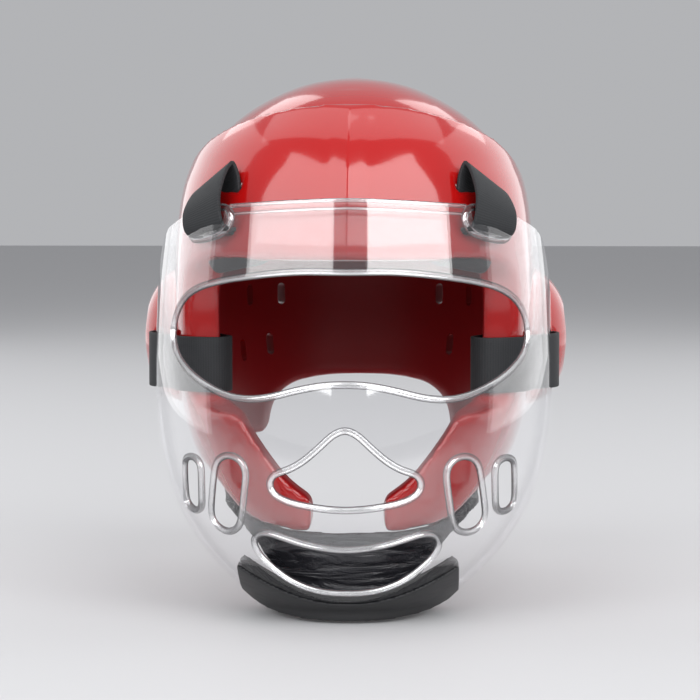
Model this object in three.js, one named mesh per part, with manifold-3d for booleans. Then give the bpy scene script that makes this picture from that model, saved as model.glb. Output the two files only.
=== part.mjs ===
// Sparring headgear with a clear face shield, in millimetres, +Z up, the face towards -Y.
// The origin is the crown seat: the point inside the foam dome where the top of the head bears.
import * as THREE from "three";
import { mergeVertices } from "three/addons/utils/BufferGeometryUtils.js";
import Module from "manifold-3d";

const wasm = await Module();
wasm.setup();

// The head form that the foam is moulded round.
const headHalfWidth = 78;
const headHalfLength = 97;
const headHeight = 232;
const sectionPower = 2.25;

// The dipped foam: a thinner crown, and a raised pad that runs round the brow, the sides and the back.
const crownWallTop = 16;
const crownWallSide = 11;
const crownWallFront = 16;
const crownWallBack = 13;
const padRise = 5.5;
const padTopFront = 3;
const padTopSlope = 0.5;
const browKeelRise = 1.6;
const browKeelHalfWidth = 9;

// The face opening and the lower edge, seen from the side.
const browDrop = 76;
const templeReach = 60;
const cheekGap = 17;
const skirtDrop = 180;
const napeArchHalfWidth = 50;
const napeArchDrop = 148;

// The ear guards.
const earForward = 16;
const earDrop = 121;
const earRadius = { out: 25, along: 32, up: 37 };
const earSeat = 89;
const earHole = { along: 13, up: 19 };

// The slits that let air through behind the temples and at the back.
const ventHalfWidth = 2.5;
const ventHalfHeight = 6;

// The clear shield.
const shieldWall = 2.4;
const shieldSideRoom = 7.5;
const shieldNoseRoom = 22;
const shieldTopDrop = 47;
const shieldHeight = 200;
const rimRadius = 1.7;
const rimInset = 0.6;

// Webbing straps and the chin parts.
const strapThickness = 1.8;
const topStrapWidth = 29;
const sideStrapWidth = 28;
const sideStrapDrop = 131;
const clearance = 0.4;
const chinStrapThickness = 5;
const chinStrapTop = 0.96;
const chinPlan = { wide: 0.92, deep: 1.06, round: 1.14 };
const chinTaper = 0.5;
const chinCupWall = 3;
const chinCupLip = 4.5;
const chinCupSweep = 0.16;
const chinCupDepth = 7.5;
const chinCupLedge = 13;
const chinCupHalfWidth = 55;
const chinCupFlare = 2.2;

const shieldHalfWidth = headHalfWidth + crownWallSide + padRise + shieldSideRoom;
const shieldReach = headHalfLength + crownWallFront + padRise + shieldNoseRoom;

// Head sections from the crown down: shares of headHeight, headHalfWidth and headHalfLength.
const headRows = [
  { drop: 0, width: 0, front: 0, back: 0 },
  { drop: 0.014, width: 0.31, front: 0.31, back: 0.33 },
  { drop: 0.056, width: 0.6, front: 0.59, back: 0.6 },
  { drop: 0.112, width: 0.81, front: 0.77, back: 0.78 },
  { drop: 0.164, width: 0.91, front: 0.87, back: 0.87 },
  { drop: 0.224, width: 0.96, front: 0.94, back: 0.93 },
  { drop: 0.323, width: 0.99, front: 0.99, back: 0.99 },
  { drop: 0.453, width: 1, front: 1, back: 1 },
  { drop: 0.582, width: 0.985, front: 0.99, back: 0.96 },
  { drop: 0.69, width: 0.925, front: 0.975, back: 0.89 },
  { drop: 0.776, width: 0.83, front: 0.95, back: 0.83 },
  { drop: 0.862, width: 0.69, front: 0.915, back: 0.76 },
  { drop: 0.94, width: 0.5, front: 0.85, back: 0.66 },
  { drop: 1, width: 0.3, front: 0.72, back: 0.5 },
];

// Shield sections from its top edge down: shares of shieldHeight, shieldHalfWidth and shieldReach.
// rear is where the side edge stands, as a share of shieldReach.
const shieldRows = [
  { drop: 0, width: 0.93, front: 0.853, rear: 0.3 },
  { drop: 0.09, width: 0.955, front: 0.878, rear: 0.25 },
  { drop: 0.2, width: 0.98, front: 0.91, rear: 0.18 },
  { drop: 0.31, width: 0.993, front: 0.94, rear: 0.12 },
  { drop: 0.43, width: 1, front: 0.975, rear: 0.1 },
  { drop: 0.56, width: 0.993, front: 0.997, rear: 0.13 },
  { drop: 0.68, width: 0.957, front: 1, rear: 0.2 },
  { drop: 0.79, width: 0.887, front: 0.978, rear: 0.29 },
  { drop: 0.88, width: 0.785, front: 0.93, rear: 0.36 },
  { drop: 0.95, width: 0.665, front: 0.86, rear: 0.42 },
  { drop: 1, width: 0.56, front: 0.775, rear: 0.46 },
];

// A smooth curve through one column of a table; u counts rows.
function column(rows, key) {
  const slope = (i) => {
    const before = rows[Math.max(i - 1, 0)][key];
    const after = rows[Math.min(i + 1, rows.length - 1)][key];
    const span = i === 0 || i === rows.length - 1 ? 1 : 2;
    return (after - before) / span;
  };
  return (u) => {
    const i = Math.min(Math.floor(u), rows.length - 2);
    const t = u - i;
    const rise = rows[i + 1][key] - rows[i][key];
    const bend = slope(i) - rise;
    const unbend = rise - slope(i + 1);
    return rows[i][key] + t * rise + t * (1 - t) * (bend * (1 - t) + unbend * t);
  };
}

// The row number at which a falling column reaches a value.
function rowAt(curve, value, last) {
  let low = 0;
  let high = last;
  for (let i = 0; i < 40; i++) {
    const middle = (low + high) / 2;
    if (curve(middle) < value) low = middle;
    else high = middle;
  }
  return (low + high) / 2;
}

// A point of a rounded section: angle 0 is the front, and a quarter turn is +X.
function sectionPoint(halfWidth, front, back, z, angle) {
  const s = Math.sin(angle);
  const c = Math.cos(angle);
  const x = halfWidth * Math.sign(s) * Math.abs(s) ** (2 / sectionPower);
  const reach = c > 0 ? -front : back;
  return new THREE.Vector3(x, reach * Math.abs(c) ** (2 / sectionPower), z);
}

const head = {
  drop: column(headRows, "drop"),
  width: column(headRows, "width"),
  front: column(headRows, "front"),
  back: column(headRows, "back"),
  last: headRows.length - 1,
};

function headPoint(u, angle) {
  return sectionPoint(
    head.width(u) * headHalfWidth,
    head.front(u) * headHalfLength,
    head.back(u) * headHalfLength,
    -head.drop(u) * headHeight,
    angle,
  );
}

function outward(point, u, angle, last) {
  const step = 0.02;
  const low = Math.max(u - step, step);
  const down = point(Math.min(low + 2 * step, last), angle).sub(point(low, angle));
  const round = point(Math.max(u, step), angle + step).sub(point(Math.max(u, step), angle - step));
  return down.cross(round).normalize();
}

// The wall of the crown at an angle, blended from its front, side and back values.
function crownWall(u, angle) {
  const c = Math.cos(angle);
  const along = c > 0 ? crownWallFront : crownWallBack;
  const around = crownWallSide + (along - crownWallSide) * c * c;
  const level = Math.min(u / 4, 1);
  return crownWallTop + (around - crownWallTop) * level;
}

function foamPoint(u, angle, extra) {
  return headPoint(u, angle).addScaledVector(
    outward(headPoint, u, angle, head.last),
    crownWall(u, angle) + extra,
  );
}

// A closed body through rings of points, capped at both ends.
function loftRings(rings) {
  const count = rings[0].length;
  const middle = (ring) =>
    ring.reduce((sum, p) => sum.add(p), new THREE.Vector3()).divideScalar(ring.length);
  const points = [...rings.flat(), middle(rings[0]), middle(rings.at(-1))];
  const faces = [];
  for (let k = 0; k < rings.length - 1; k++)
    for (let j = 0; j < count; j++) {
      const a = k * count + j;
      const b = k * count + ((j + 1) % count);
      faces.push(a, a + count, b, b, a + count, b + count);
    }
  const first = points.length - 2;
  const lastRow = (rings.length - 1) * count;
  for (let j = 0; j < count; j++) {
    faces.push(first, j, (j + 1) % count);
    faces.push(first + 1, lastRow + ((j + 1) % count), lastRow + j);
  }
  const geometry = new THREE.BufferGeometry().setFromPoints(points);
  geometry.setIndex(faces);
  return geometry;
}

function toSolid(geometry) {
  const bare = new THREE.BufferGeometry();
  bare.setAttribute("position", geometry.getAttribute("position"));
  if (geometry.index) bare.setIndex(geometry.index);
  const merged = mergeVertices(bare, 1e-3);
  const build = (triVerts) =>
    new wasm.Manifold(
      new wasm.Mesh({
        numProp: 3,
        vertProperties: new Float32Array(merged.attributes.position.array),
        triVerts,
      }),
    );
  const index = new Uint32Array(merged.index.array);
  const solid = build(index);
  return solid.volume() > 0 ? solid : build(index.reverse());
}

function toGeometry(solid) {
  const mesh = solid.getMesh();
  const geometry = new THREE.BufferGeometry();
  geometry.setAttribute("position", new THREE.BufferAttribute(mesh.vertProperties, 3));
  geometry.setIndex(new THREE.BufferAttribute(mesh.triVerts, 1));
  geometry.computeVertexNormals();
  return geometry;
}

function largest(solid) {
  return solid.decompose().sort((a, b) => b.volume() - a.volume())[0];
}

// A flat outline pushed along an axis. Points are [across, up] pairs; across is x, or y for a side view.
function prism(outline, from, to, axis) {
  const shape = new THREE.Shape(outline.map(([a, b]) => new THREE.Vector2(a, b)));
  const geometry = new THREE.ExtrudeGeometry(shape, { depth: to - from, bevelEnabled: false });
  const turn = new THREE.Matrix4();
  if (axis === "x")
    turn.set(0, 0, 1, from, 1, 0, 0, 0, 0, 1, 0, 0, 0, 0, 0, 1);
  else turn.set(1, 0, 0, 0, 0, 0, -1, to, 0, 1, 0, 0, 0, 0, 0, 1);
  return toSolid(geometry.applyMatrix4(turn));
}

function smoothOutline(points, count, closed = true) {
  const path = new THREE.CatmullRomCurve3(
    points.map(([a, b]) => new THREE.Vector3(a, b, 0)),
    closed,
    "centripetal",
  );
  const sampled = path.getSpacedPoints(count).map((p) => [p.x, p.y]);
  return closed ? sampled.slice(0, -1) : sampled;
}

const mirrored = (half) => [...half, ...half.map(([x, z]) => [-x, z]).reverse()];

// Foam body at an extra offset over the crown wall; the keel makes the crease down the brow.
function foamBody(extra, keel) {
  const around = 36;
  const levels = 13;
  const rings = [];
  for (let k = 1; k <= levels; k++) {
    const u = (head.last * k) / levels;
    const ring = [];
    for (let j = 0; j < around; j++) {
      const angle = (2 * Math.PI * j) / around;
      const point = foamPoint(u, angle, extra);
      const fold = Math.max(0, 1 - Math.abs(point.x) / browKeelHalfWidth);
      if (point.y < 0) point.y -= keel * fold;
      ring.push(point);
    }
    rings.push(ring);
  }
  const top = new THREE.Vector3(0, 0, crownWallTop + extra);
  rings.unshift(rings[0].map((p) => top.clone().lerp(p, 0.3).setZ(top.z - (top.z - p.z) * 0.09)));
  return toSolid(loftRings(rings));
}

function headBody() {
  const around = 26;
  const levels = 11;
  const rings = [];
  for (let k = 1; k <= levels; k++)
    rings.push(
      Array.from({ length: around }, (_, j) =>
        headPoint((head.last * k) / levels, (2 * Math.PI * j) / around),
      ),
    );
  rings.unshift(rings[0].map((p) => new THREE.Vector3(p.x * 0.3, p.y * 0.3, p.z * 0.09)));
  rings.push(rings.at(-1).map((p) => p.clone().setZ(p.z - headHeight / 2)));
  return toSolid(loftRings(rings));
}

// Everything below the plane that ends the raised pad: it falls from the brow towards the nape.
function belowPadTop() {
  const far = 3 * headHalfLength;
  const frontY = -headHalfLength;
  const edge = (y) => padTopFront - padTopSlope * (y - frontY * 0.84);
  return prism([[-far, -far], [far, -far], [far, edge(far)], [-far, edge(-far)]], -far, far, "x");
}

// The brow and temple edge from the side, as shares of headHalfLength forward and headHeight down.
const faceEdge = [
  { forward: 0.8, down: 0.006 },
  { forward: 0.64, down: 0.04 },
  { forward: 0.6, down: 0.1 },
  { forward: 0.6, down: 0.2 },
  { forward: 0.6, down: 0.28 },
  { forward: 0.67, down: 0.318 },
  { forward: 0.84, down: 0.33 },
  { forward: 1, down: 0.34 },
  { forward: 1.4, down: 0.39 },
];

function faceCut() {
  const far = 2.2 * headHalfLength;
  const shift = templeReach - 0.6 * headHalfLength;
  const rear = faceEdge.map(({ forward, down }) => [
    -forward * headHalfLength - shift,
    -browDrop - down * headHeight,
  ]);
  const curve = smoothOutline(rear, 24, false);
  const outline = [[-far, -browDrop], ...curve, [-far, rear.at(-1)[1]]];
  return prism(outline, -far, far, "x");
}

// The cheek guards' inner edge from the front, as shares of headHalfWidth and headHeight.
const cheekEdge = [
  [0.64, 0.4], [0.7, 0.56], [0.72, 0.62], [0.65, 0.68], [0.52, 0.745], [0.38, 0.8], [0.22, 0.836], [0.06, 0.85],
];

function cheekCut() {
  const half = cheekEdge.map(([x, down]) => [x * headHalfWidth, -down * headHeight]);
  return prism(mirrored(smoothOutline(half, 18, false)), -2 * headHalfLength, -headHalfLength * 0.55, "y");
}

// The lower edge from the side: forward from the nape skirt to the cheek tips.
const lowerEdge = [
  { forward: -1.6, down: -0.015 },
  { forward: -0.8, down: -0.01 },
  { forward: -0.2, down: 0 },
  { forward: 0.3, down: 0.012 },
  { forward: 0.54, down: 0.03 },
  { forward: 0.66, down: 0.06 },
  { forward: 0.78, down: 0.108 },
  { forward: 0.95, down: 0.13 },
  { forward: 1.6, down: 0.135 },
];

function lowerCut() {
  const far = 2 * headHeight;
  const edge = lowerEdge.map(({ forward, down }) => [
    -forward * headHalfLength,
    -skirtDrop - down * headHeight,
  ]);
  const curve = smoothOutline(edge, 30, false);
  return prism([...curve, [curve.at(-1)[0], -far], [curve[0][0], -far]], -far, far, "x");
}

function napeCut() {
  const width = napeArchHalfWidth;
  const rise = skirtDrop - napeArchDrop;
  const half = [
    [width * 1.02, -skirtDrop - rise],
    [width * 1.02, -skirtDrop + rise * 0.1],
    [width * 0.96, -napeArchDrop - rise * 0.42],
    [width * 0.78, -napeArchDrop - rise * 0.16],
    [width * 0.4, -napeArchDrop - rise * 0.03],
    [0.01, -napeArchDrop],
  ];
  return prism(mirrored(smoothOutline(half, 12, false)), headHalfLength * 0.3, 3 * headHalfLength, "y");
}

function chinGapCut() {
  const far = 2 * headHeight;
  const rounding = cheekGap * 0.3;
  const top = -browDrop - 0.2 * headHeight;
  const half = [[cheekGap, top], [cheekGap, -skirtDrop], [cheekGap + rounding, -far]];
  return prism(mirrored(half), -2 * headHalfLength, -headHalfLength * 0.4, "y");
}

function earBulge(side) {
  const ball = new THREE.SphereGeometry(1, 16, 10);
  ball.rotateZ(Math.PI / 2);
  ball.scale(earRadius.out, earRadius.along, earRadius.up);
  ball.translate(side * earSeat, earForward, -earDrop);
  return toSolid(ball);
}

// An upright slit with round ends through the wall, pushed along a direction in the plan.
function slit(centre, direction, halfWidth, halfHeight, from, to) {
  const count = 7;
  const straight = Math.max(halfHeight - halfWidth, 0);
  const outline = [];
  for (const [sign, start] of [[1, 0], [-1, Math.PI]])
    for (let i = 0; i < count; i++) {
      const a = start + (Math.PI * i) / (count - 1);
      outline.push(new THREE.Vector2(halfWidth * Math.cos(a), halfWidth * Math.sin(a) + sign * straight));
    }
  const geometry = new THREE.ExtrudeGeometry(new THREE.Shape(outline), {
    depth: to - from,
    bevelEnabled: false,
  });
  const ahead = direction.clone().normalize();
  const up = new THREE.Vector3(0, 0, 1);
  const across = new THREE.Vector3().crossVectors(up, ahead);
  const place = new THREE.Matrix4().makeBasis(across, up, ahead);
  place.setPosition(centre.clone().addScaledVector(ahead, from));
  return toSolid(geometry.applyMatrix4(place));
}

// Vents: how far round from the front, in degrees, and how far down, as a share of headHeight.
const vents = [
  { round: 131, down: 0.44 },
  { round: 148, down: 0.44 },
  { round: 126, down: 0.57 },
  { round: 142, down: 0.56 },
];

function ventCuts() {
  const cuts = [];
  for (const { round, down } of vents)
    for (const side of [-1, 1]) {
      const angle = (side * round * Math.PI) / 180;
      const u = rowAt(head.drop, down, head.last);
      const centre = headPoint(u, angle);
      const ahead = outward(headPoint, u, angle, head.last).setZ(0);
      cuts.push(slit(centre, ahead, ventHalfWidth, ventHalfHeight, -8, crownWallBack + 3 * padRise));
    }
  return cuts;
}

const shield = {
  drop: column(shieldRows, "drop"),
  width: column(shieldRows, "width"),
  front: column(shieldRows, "front"),
  rear: column(shieldRows, "rear"),
  last: shieldRows.length - 1,
};

function shieldPoint(u, angle) {
  return sectionPoint(
    shield.width(u) * shieldHalfWidth,
    shield.front(u) * shieldReach,
    0,
    -shieldTopDrop - shield.drop(u) * shieldHeight,
    angle,
  );
}

// How far round the shield reaches at a row: its rear edge stands at a named distance ahead of the ears.
function shieldSpan(u) {
  const share = shield.rear(u) / shield.front(u);
  return Math.acos(Math.min(share ** (sectionPower / 2), 1));
}

function shieldSheet(inner, outer) {
  const across = 24;
  const levels = 12;
  const rings = [];
  for (let k = 0; k <= levels; k++) {
    const u = (shield.last * k) / levels;
    const span = shieldSpan(u);
    const line = (offset) =>
      Array.from({ length: across + 1 }, (_, j) => {
        const angle = span * ((2 * j) / across - 1);
        const point = shieldPoint(u, angle);
        const ahead = outward(shieldPoint, u, angle, shield.last);
        return point.addScaledVector(ahead, offset);
      });
    rings.push([...line(outer), ...line(inner).reverse()]);
  }
  return sheetSolid(rings, across + 1);
}

// A closed thin sheet: each ring is its outer line followed by its inner line, backwards.
function sheetSolid(rings, lineCount) {
  const count = rings[0].length;
  const faces = [];
  for (let k = 0; k < rings.length - 1; k++)
    for (let j = 0; j < count; j++) {
      const a = k * count + j;
      const b = k * count + ((j + 1) % count);
      faces.push(a, a + count, b, b, a + count, b + count);
    }
  const last = (rings.length - 1) * count;
  for (let j = 0; j < lineCount - 1; j++) {
    const across = count - 1 - j;
    faces.push(j, j + 1, across, j + 1, across - 1, across);
    faces.push(last + j, last + across, last + j + 1, last + j + 1, last + across, last + across - 1);
  }
  const geometry = new THREE.BufferGeometry().setFromPoints(rings.flat());
  geometry.setIndex(faces);
  return toSolid(geometry);
}

// The shield's surface seen from the front: the point at x and z.
function shieldAt(x, z) {
  const share = (-z - shieldTopDrop) / shieldHeight;
  const u = rowAt(shield.drop, share, shield.last);
  const reach = Math.min(Math.abs(x) / (shield.width(u) * shieldHalfWidth), 0.995);
  const angle = Math.sign(x) * Math.asin(reach ** (sectionPower / 2));
  return { u, angle, point: shieldPoint(u, angle) };
}

// Openings seen from the front: shares of shieldHalfWidth and shieldHeight, right half from top to bottom.
const eyeHalf = [
  [0, 0.173], [0.24, 0.173], [0.45, 0.184], [0.64, 0.202], [0.75, 0.222], [0.82, 0.25],
  [0.87, 0.295], [0.883, 0.34], [0.86, 0.385], [0.78, 0.427], [0.67, 0.458], [0.56, 0.477],
  [0.45, 0.48], [0.35, 0.472], [0.235, 0.456], [0.1, 0.443], [0, 0.441],
];
const noseHalf = [
  [0, 0.549], [0.055, 0.56], [0.12, 0.59], [0.2, 0.625], [0.27, 0.646], [0.34, 0.66],
  [0.363, 0.68], [0.35, 0.703], [0.29, 0.722], [0.19, 0.734], [0, 0.743],
];
const mouthHalf = [
  [0, 0.843], [0.19, 0.831], [0.31, 0.814], [0.38, 0.806], [0.43, 0.812], [0.449, 0.835],
  [0.426, 0.866], [0.37, 0.895], [0.28, 0.93], [0.15, 0.956], [0, 0.963],
];

// The upper edge: it is level at the brow and falls away towards the temples.
const topEdge = [
  [0.5, -0.05], [0.6, 0.012], [0.73, 0.027], [0.852, 0.055], [0.957, 0.1], [1.1, 0.2], [1.1, -0.05],
];

// Side slots: shares of shieldHalfWidth and shieldHeight for both ends of each slot's middle line.
const cheekSlots = [
  { top: [0.56, 0.661], bottom: [0.59, 0.777], radius: 0.082 },
  { top: [0.765, 0.662], bottom: [0.77, 0.758], radius: 0.05 },
];

function openingOutline(half, count) {
  const right = half.map(([x, z]) => [x * shieldHalfWidth, -shieldTopDrop - z * shieldHeight]);
  const left = right.slice(1, -1).map(([x, z]) => [-x, z]).reverse();
  return smoothOutline([...right, ...left], count);
}

function slotOutline({ top, bottom, radius }, side) {
  const at = ([x, z]) =>
    new THREE.Vector2(side * x * shieldHalfWidth, -shieldTopDrop - z * shieldHeight);
  const a = at(top);
  const b = at(bottom);
  const lean = Math.atan2(a.y - b.y, a.x - b.x);
  const size = radius * shieldHalfWidth;
  const outline = [];
  for (const [end, start] of [[a, lean - Math.PI / 2], [b, lean + Math.PI / 2]])
    for (let i = 0; i < 5; i++) {
      const t = start + (Math.PI * i) / 4;
      outline.push([end.x + size * Math.cos(t), end.y + size * Math.sin(t)]);
    }
  return outline;
}

// A bead along an outline on the shield, with a six-sided section.
function rimBead(outline) {
  const sides = 4;
  const spots = outline.map(([x, z]) => {
    const { u, angle, point } = shieldAt(x, z);
    const ahead = outward(shieldPoint, u, angle, shield.last);
    return { point: point.addScaledVector(ahead, -rimInset), ahead };
  });
  const rings = spots.map(({ point, ahead }, i) => {
    const next = spots[(i + 1) % spots.length].point;
    const before = spots[(i + spots.length - 1) % spots.length].point;
    const along = next.clone().sub(before).normalize();
    const side = new THREE.Vector3().crossVectors(along, ahead).normalize();
    return Array.from({ length: sides }, (_, j) => {
      const t = (2 * Math.PI * j) / sides;
      return point
        .clone()
        .addScaledVector(ahead, rimRadius * Math.cos(t))
        .addScaledVector(side, rimRadius * Math.sin(t));
    });
  });
  const faces = [];
  for (let k = 0; k < rings.length; k++)
    for (let j = 0; j < sides; j++) {
      const a = k * sides + j;
      const b = k * sides + ((j + 1) % sides);
      const c = ((k + 1) % rings.length) * sides + j;
      const d = ((k + 1) % rings.length) * sides + ((j + 1) % sides);
      faces.push(a, c, b, b, c, d);
    }
  const geometry = new THREE.BufferGeometry().setFromPoints(rings.flat());
  geometry.setIndex(faces);
  return toSolid(geometry);
}

// A closed strap loop in the plane of outward and up, made as a flat ring pushed across its width.
function strapRing(path, thickness, width, basis) {
  const count = path.length;
  const spots = path.map(([a, b]) => new THREE.Vector2(a, b));
  if (THREE.ShapeUtils.isClockWise(spots)) spots.reverse();
  const shifted = (amount) =>
    spots.map((p, i) => {
      const along = spots[(i + 1) % count].clone().sub(spots[(i + count - 1) % count]).normalize();
      return p.clone().add(new THREE.Vector2(along.y, -along.x).multiplyScalar(amount));
    });
  const shape = new THREE.Shape(shifted(thickness / 2));
  shape.holes.push(new THREE.Path(shifted(-thickness / 2)));
  const geometry = new THREE.ExtrudeGeometry(shape, { depth: width, bevelEnabled: false });
  geometry.translate(0, 0, -width / 2);
  return toSolid(geometry.applyMatrix4(basis));
}

// The top straps hang in a slot of the foam, take in the shield's upper bar and close round the brow edge.
const topStrapSide = 0.74;
const topStrapTop = 30;
const topStrapLean = 0.16;
const topStrapStand = 2.4;
const topStrapTurn = 0.25;
const barHeight = 17;
const topStrapFall = 0.36;

function topStrapFrame(side) {
  const { u, angle, point } = shieldAt(side * topStrapSide * shieldHalfWidth, -shieldTopDrop - barHeight / 2);
  const ahead = outward(shieldPoint, u, angle, shield.last).setZ(0).normalize();
  ahead.y -= topStrapTurn;
  ahead.normalize();
  const up = new THREE.Vector3(0, 0, 1);
  const across = new THREE.Vector3().crossVectors(ahead, up);
  up.addScaledVector(across, -side * topStrapLean).normalize();
  across.crossVectors(ahead, up).normalize();
  return new THREE.Matrix4().makeBasis(ahead, up, across).setPosition(point.setZ(0));
}

// Pairs of how far out and how far up, from the shield's face and the crown seat.
function topStrapPath() {
  const wall = (crownWallFront + crownWallSide) / 2 + padRise;
  const outside = strapThickness + topStrapStand;
  const barEnd = shieldTopDrop + barHeight;
  const behind = shieldWall + 3 * strapThickness;
  return smoothOutline(
    [
      [-wall * 0.51, -shieldTopDrop * 0.94],
      [-wall * 0.5, -shieldTopDrop * 0.8],
      [-wall * 0.36, -topStrapTop * 1.05],
      [-wall * 0.2, -topStrapTop * 1.12],
      [outside * 0.3, -shieldTopDrop * 0.88],
      [outside, -shieldTopDrop * 1.05],
      [outside, -barEnd * 0.94],
      [outside * 0.4, -barEnd],
      [-behind, -barEnd * 1.03],
      [-behind * 1.15, -browDrop * 1.01],
      [-wall * 0.7, -browDrop * 1.08],
      [-wall * 1.33, -browDrop * 1.03],
      [-wall * 1.3, -browDrop * 0.9],
      [-wall * 0.95, -browDrop * 0.78],
      [-wall * 0.63, -shieldTopDrop * 1.1],
    ],
    38,
  );
}

function topStrap(side, grow) {
  const width = topStrapWidth + 2 * grow;
  const ring = strapRing(topStrapPath(), strapThickness + 2 * grow, width, new THREE.Matrix4());
  const barEnd = shieldTopDrop + barHeight;
  const fallen = ring.warp((spot) => {
    const rise = Math.min(Math.max((spot[1] + barEnd) / (barEnd - topStrapTop), 0), 1);
    spot[1] -= topStrapFall * rise * (topStrapWidth / 2 - side * spot[2]);
  });
  return fallen.transform(topStrapFrame(side).elements);
}

// The side straps lie level: round the temple pad, out through the shield's rear slot and back by the ear.
function sideStrapPath() {
  const outX = headHalfWidth + crownWallSide + padRise;
  return smoothOutline(
    [
      [headHalfWidth - 5, -6],
      [headHalfWidth - 8, -32],
      [headHalfWidth * 0.79, -templeReach + 4],
      [headHalfWidth * 0.87, -templeReach - 5],
      [outX * 0.92, -templeReach + 3],
      [outX * 0.985, -42],
      [shieldHalfWidth - 1, -34],
      [shieldHalfWidth + 3.4, -26],
      [shieldHalfWidth + 3.6, -13],
      [shieldHalfWidth - 2, -5],
      [headHalfWidth + 8, 6],
      [headHalfWidth - 2, 6],
    ],
    38,
  );
}

function sideStrap(side, grow) {
  const basis = new THREE.Matrix4().makeBasis(
    new THREE.Vector3(side, 0, 0),
    new THREE.Vector3(0, 1, 0),
    new THREE.Vector3(0, 0, side),
  );
  basis.setPosition(0, 0, -sideStrapDrop);
  return strapRing(sideStrapPath(), strapThickness + 2 * grow, sideStrapWidth + 2 * grow, basis);
}

function rearSlot(side) {
  const middle = new THREE.Vector3(side * shieldHalfWidth, -32, -sideStrapDrop);
  return slit(middle, new THREE.Vector3(side, -0.25, 0), 4.2, sideStrapWidth / 2 + 3.5, -16, 16);
}

function topSlot(side) {
  const frame = topStrapFrame(side);
  const half = topStrapWidth / 2 + 3;
  const low = shieldTopDrop + barHeight + strapThickness;
  const high = shieldTopDrop + barHeight * 0.4;
  const outline = smoothOutline(
    [[-half, -low + 5], [-half + 5, -low], [half - 5, -low], [half, -low + 5],
      [half, -high - 4], [half - 4, -high], [-half + 4, -high], [-half, -high - 4]],
    24,
  );
  const shape = new THREE.Shape(outline.map(([a, b]) => new THREE.Vector2(a, b)));
  const geometry = new THREE.ExtrudeGeometry(shape, { depth: 30, bevelEnabled: false });
  geometry.translate(0, 0, -15);
  const across = new THREE.Vector3().setFromMatrixColumn(frame, 2);
  const up = new THREE.Vector3().setFromMatrixColumn(frame, 1);
  const ahead = new THREE.Vector3().setFromMatrixColumn(frame, 0);
  const turn = new THREE.Matrix4().makeBasis(across.negate(), up, ahead);
  turn.setPosition(new THREE.Vector3().setFromMatrixPosition(frame));
  return toSolid(geometry.applyMatrix4(turn));
}

// The chin strap hangs along the cheek guards' lower edge and widens into a pad in front of the chin.
// share runs from the middle to an end; low is how far the strap reaches from the skirt to the shield's foot.
const chinRows = [
  { share: 0, low: 1 },
  { share: 0.25, low: 0.985 },
  { share: 0.42, low: 0.88 },
  { share: 0.54, low: 0.69 },
  { share: 0.66, low: 0.57 },
  { share: 0.82, low: 0.45 },
  { share: 1, low: 0.343 },
];
const shieldFoot = shieldTopDrop + shieldHeight;

function chinLow(t) {
  const share = column(chinRows, "share");
  const low = column(chinRows, "low");
  const row = rowAt(share, Math.abs(t), chinRows.length - 1);
  return skirtDrop + low(row) * (shieldFoot - skirtDrop);
}

function chinStrapSolid() {
  const steps = 28;
  const rows = 4;
  const high = skirtDrop * chinStrapTop;
  const rings = [];
  for (let k = 0; k <= steps; k++) {
    const t = (2 * k) / steps - 1;
    const low = chinLow(t);
    const line = (offset) =>
      Array.from({ length: rows + 1 }, (_, j) => {
        const down = high + ((low - high) * j) / rows;
        const taper = (chinTaper * (down - skirtDrop)) / headHeight;
        const wide = chinPlan.wide * headHalfWidth * (1 - taper) + offset;
        const deep = chinPlan.deep * headHalfLength * (1 - taper * 0.3) + offset;
        return sectionPoint(wide, deep, 0, -down, t * chinPlan.round);
      });
    rings.push([...line(chinStrapThickness / 2), ...line(-chinStrapThickness / 2).reverse()]);
  }
  const below = lowerCut().translate([0, 0, -clearance]);
  return largest(sheetSolid(rings, rows + 1).intersect(below));
}

// The chin cup is a channel pushed on the shield's lower edge, with a ledge that the pad stands on.
function chinCupRing(t) {
  const rows = 3;
  const angle = t * shieldSpan(shield.last);
  const topShare = 1 - chinCupLip / shieldHeight - chinCupSweep * t * t;
  const highRow = rowAt(shield.drop, topShare, shield.last);
  const below = chinCupDepth - (chinCupDepth - chinCupWall - clearance) * t * t;
  const edge = shieldPoint(shield.last, angle);
  const level = outward(shieldPoint, shield.last, angle, shield.last).setZ(0).normalize();
  const wallAt = (row, offset) =>
    shieldPoint(row, angle).addScaledVector(outward(shieldPoint, row, angle, shield.last), offset);
  const footAt = (reach, drop) => {
    const point = edge.clone().addScaledVector(level, reach);
    return point.setZ(edge.z - drop);
  };
  const lowered = (offset) => {
    const point = wallAt(shield.last, offset);
    return point.setZ(point.z - clearance);
  };
  const rowsDown = Array.from(
    { length: rows + 1 },
    (_, j) => highRow + ((shield.last - highRow) * j) / rows,
  );
  const rowsUp = [...rowsDown].reverse();
  const inside = -shieldWall - clearance;
  const flareAt = (row) => (chinCupFlare * (shield.last - row)) / (shield.last - highRow);
  const outer = [
    ...rowsDown.map((row) => wallAt(row, clearance + chinCupWall + flareAt(row))),
    footAt(chinCupWall * 0.4, below),
    footAt(-chinCupLedge * 0.5, below * 0.5 + chinCupWall * 0.5),
    footAt(-chinCupLedge, chinCupWall),
    footAt(-chinCupLedge, clearance),
    footAt(-chinCupWall, clearance),
    ...rowsUp.map((row) => wallAt(row, inside - chinCupWall * 0.6)),
  ];
  const inner = [
    ...rowsDown.map((row) => wallAt(row, clearance + flareAt(row))),
    ...[clearance, 0, -shieldWall * 0.3, -shieldWall * 0.6, inside].map(lowered),
    ...rowsUp.map((row) => wallAt(row, inside)),
  ];
  return [...outer, ...inner.reverse()];
}

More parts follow.
